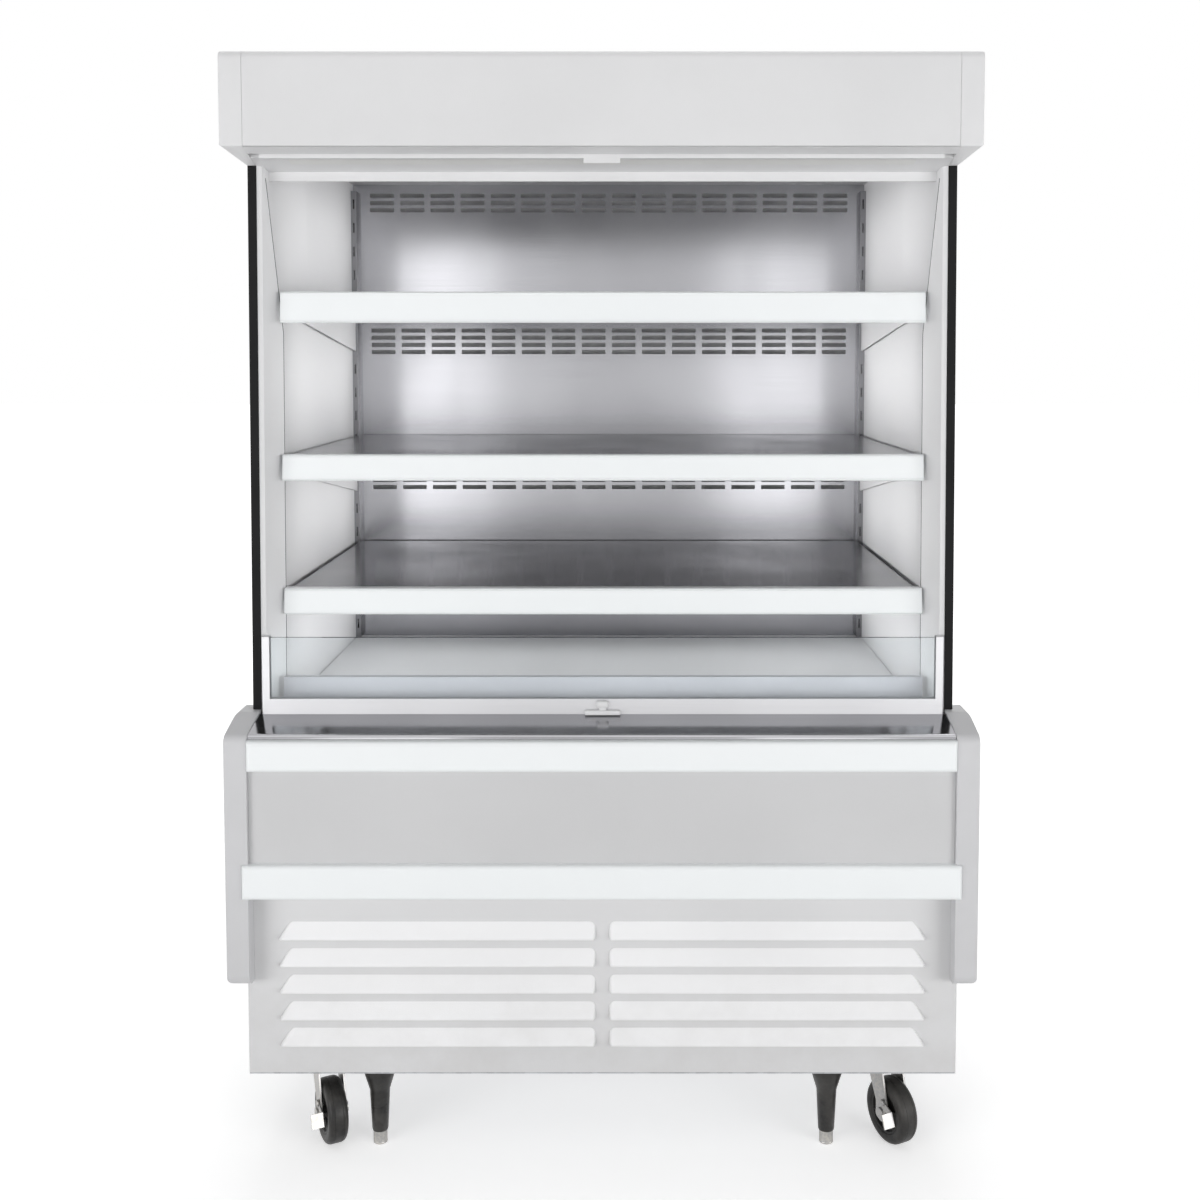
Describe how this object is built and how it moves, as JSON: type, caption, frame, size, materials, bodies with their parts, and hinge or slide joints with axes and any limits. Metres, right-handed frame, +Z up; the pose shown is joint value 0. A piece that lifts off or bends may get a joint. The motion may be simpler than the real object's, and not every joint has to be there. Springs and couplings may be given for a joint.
{
  "type": "open multideck display fridge",
  "caption": "Open-front self-contained display fridge with shelves, price rails, low front glass, louvred base and casters.",
  "frame": {"origin": "on the floor under the middle of the cabinet's overall box", "axes": "+Z up, the open front faces -Y, +X to the right as seen from the front"},
  "size_m": [1.23, 0.89, 1.837],
  "materials": {
    "white_panel": "satin white powder coat",
    "grey_panel": "light grey powder coat",
    "grey_cap": "moulded light grey",
    "white_cap": "moulded white",
    "white_strip": "white extruded bumper",
    "foam": "foamed in place",
    "stainless": "brushed stainless",
    "galvanised": "galvanised sheet",
    "black_trim": "black extrusion",
    "black_paint": "black enamel",
    "black_plastic": "black moulding",
    "clear_glass": "clear toughened glass",
    "channel": "satin anodised",
    "bare_aluminium": "mill finish",
    "honeycomb": "translucent white",
    "lamp": "opal diffuser",
    "cloth": "metallised woven cloth",
    "wheel": "black rubber",
    "zinc": "zinc plated",
    "copper": "copper tube"
  },
  "bodies": {
    "cabinet": {"base_frame": "galvanised", "insulation": "foam", "inner_liner": "white_panel", "rear_skin": "white_panel", "roof_skin": "white_panel", "soffit_panels": "white_panel", "end_skins": "white_panel", "end_liners": "white_panel", "edge_trims": "black_trim", "canopy_fascia": "white_panel", "canopy_caps": "white_cap", "air_honeycomb": "honeycomb", "canopy_lamp": "lamp", "back_panel": "stainless", "shelf_uprights": "stainless", "shelf_brackets": "white_panel", "deck_pan": "stainless", "return_grille": "stainless", "front_glass": "clear_glass", "glass_channel": "channel", "curtain_catch": "white_cap", "sill": "stainless", "bumper_strips": "white_strip", "front_panel": "grey_panel", "base_caps": "grey_cap", "louvre_panel": "white_panel", "caster_plates": "zinc", "leg_sockets": "black_plastic", "compressor": "black_paint", "condenser_coil": "bare_aluminium", "condenser_shroud": "white_panel", "evaporator_coil": "bare_aluminium", "evaporator_fan_plate": "galvanised", "condensate_pan": "galvanised", "electrical_box": "galvanised", "refrigerant_lines": "copper"},
    "fork_front_left": {"caster_fork_front_left": "zinc"},
    "wheel_front_left": {"caster_wheel_front_left": "wheel"},
    "brake_front_left": {"brake_lever_front_left": "zinc"},
    "fork_front_right": {"caster_fork_front_right": "zinc"},
    "wheel_front_right": {"caster_wheel_front_right": "wheel"},
    "brake_front_right": {"brake_lever_front_right": "zinc"},
    "fork_rear_left": {"caster_fork_rear_left": "zinc"},
    "wheel_rear_left": {"caster_wheel_rear_left": "wheel"},
    "fork_rear_right": {"caster_fork_rear_right": "zinc"},
    "wheel_rear_right": {"caster_wheel_rear_right": "wheel"},
    "foot_left": {"levelling_foot_left": "zinc"},
    "foot_right": {"levelling_foot_right": "zinc"},
    "shelf_bottom": {"shelf_bottom": "stainless", "price_rail_bottom": "white_strip"},
    "shelf_middle": {"shelf_middle": "stainless", "price_rail_middle": "white_strip"},
    "shelf_top": {"shelf_top": "stainless", "price_rail_top": "white_strip"},
    "curtain_bar": {"curtain_bar": "white_cap", "curtain_cloth": "cloth"},
    "curtain_roller": {"curtain_roller": "cloth"},
    "condenser_fan": {"condenser_fan": "black_plastic"},
    "evaporator_fan_left": {"evaporator_fan_left": "black_plastic"},
    "evaporator_fan_right": {"evaporator_fan_right": "black_plastic"}
  },
  "joints": [
    {"name": "swivel_front_left", "type": "hinge", "parent": "cabinet", "child": "fork_front_left", "pos_m": [-0.482, -0.312, 0.142], "axis": [0, 0, 1], "continuous": true},
    {"name": "roll_front_left", "type": "hinge", "parent": "fork_front_left", "child": "wheel_front_left", "pos_m": [-0.46747, -0.34051, 0.054], "axis": [0.891, 0.454, 0], "continuous": true},
    {"name": "brake_front_left", "type": "hinge", "parent": "fork_front_left", "child": "brake_front_left", "pos_m": [-0.48613, -0.35675, 0.074], "axis": [0.891, 0.454, 0], "range_deg": [0, 18]},
    {"name": "swivel_front_right", "type": "hinge", "parent": "cabinet", "child": "fork_front_right", "pos_m": [0.482, -0.312, 0.142], "axis": [0, 0, 1], "continuous": true},
    {"name": "roll_front_right", "type": "hinge", "parent": "fork_front_right", "child": "wheel_front_right", "pos_m": [0.49653, -0.34051, 0.054], "axis": [0.891, 0.454, 0], "continuous": true},
    {"name": "brake_front_right", "type": "hinge", "parent": "fork_front_right", "child": "brake_front_right", "pos_m": [0.47787, -0.35675, 0.074], "axis": [0.891, 0.454, 0], "range_deg": [0, 18]},
    {"name": "swivel_rear_left", "type": "hinge", "parent": "cabinet", "child": "fork_rear_left", "pos_m": [-0.482, 0.35, 0.142], "axis": [0, 0, 1], "continuous": true},
    {"name": "roll_rear_left", "type": "hinge", "parent": "fork_rear_left", "child": "wheel_rear_left", "pos_m": [-0.48974, 0.31895, 0.054], "axis": [0.9703, -0.2419, 0], "continuous": true},
    {"name": "swivel_rear_right", "type": "hinge", "parent": "cabinet", "child": "fork_rear_right", "pos_m": [0.482, 0.35, 0.142], "axis": [0, 0, 1], "continuous": true},
    {"name": "roll_rear_right", "type": "hinge", "parent": "fork_rear_right", "child": "wheel_rear_right", "pos_m": [0.48701, 0.31839, 0.054], "axis": [0.9877, 0.1564, 0], "continuous": true},
    {"name": "foot_left_screw", "type": "slide", "parent": "cabinet", "child": "foot_left", "axis": [0, 0, 1], "range_m": [0, 0.015]},
    {"name": "foot_right_screw", "type": "slide", "parent": "cabinet", "child": "foot_right", "axis": [0, 0, 1], "range_m": [0, 0.015]},
    {"name": "tilt_shelf_bottom", "type": "hinge", "parent": "cabinet", "child": "shelf_bottom", "pos_m": [0, 0.3456, 0.922], "axis": [-1, 0, 0], "range_deg": [0, 12]},
    {"name": "tilt_shelf_middle", "type": "hinge", "parent": "cabinet", "child": "shelf_middle", "pos_m": [0, 0.3456, 1.152], "axis": [-1, 0, 0], "range_deg": [0, 12]},
    {"name": "tilt_shelf_top", "type": "hinge", "parent": "cabinet", "child": "shelf_top", "pos_m": [0, 0.3456, 1.429], "axis": [-1, 0, 0], "range_deg": [0, 12]},
    {"name": "curtain_pull", "type": "slide", "parent": "cabinet", "child": "curtain_bar", "axis": [0, 0, -1], "range_m": [0, 0.897], "stiffness_N_per_m": 12, "springref_m": -0.9, "deforming": ["curtain_cloth"]},
    {"name": "curtain_roll", "type": "hinge", "parent": "cabinet", "child": "curtain_roller", "pos_m": [0, -0.3314, 1.772], "axis": [1, 0, 0], "range_deg": [0, 1714]},
    {"name": "spin_condenser_fan", "type": "hinge", "parent": "cabinet", "child": "condenser_fan", "pos_m": [-0.28, -0.241, 0.312], "axis": [0, 1, 0], "continuous": true},
    {"name": "spin_evaporator_fan_left", "type": "hinge", "parent": "cabinet", "child": "evaporator_fan_left", "pos_m": [-0.23, -0.0594, 0.6306], "axis": [0, 1, 0], "continuous": true},
    {"name": "spin_evaporator_fan_right", "type": "hinge", "parent": "cabinet", "child": "evaporator_fan_right", "pos_m": [0.23, -0.0594, 0.6306], "axis": [0, 1, 0], "continuous": true}
  ],
  "couplings": [
    {"joint": "curtain_roll", "follows": "curtain_pull", "rad_per_m": 33.333}
  ]
}
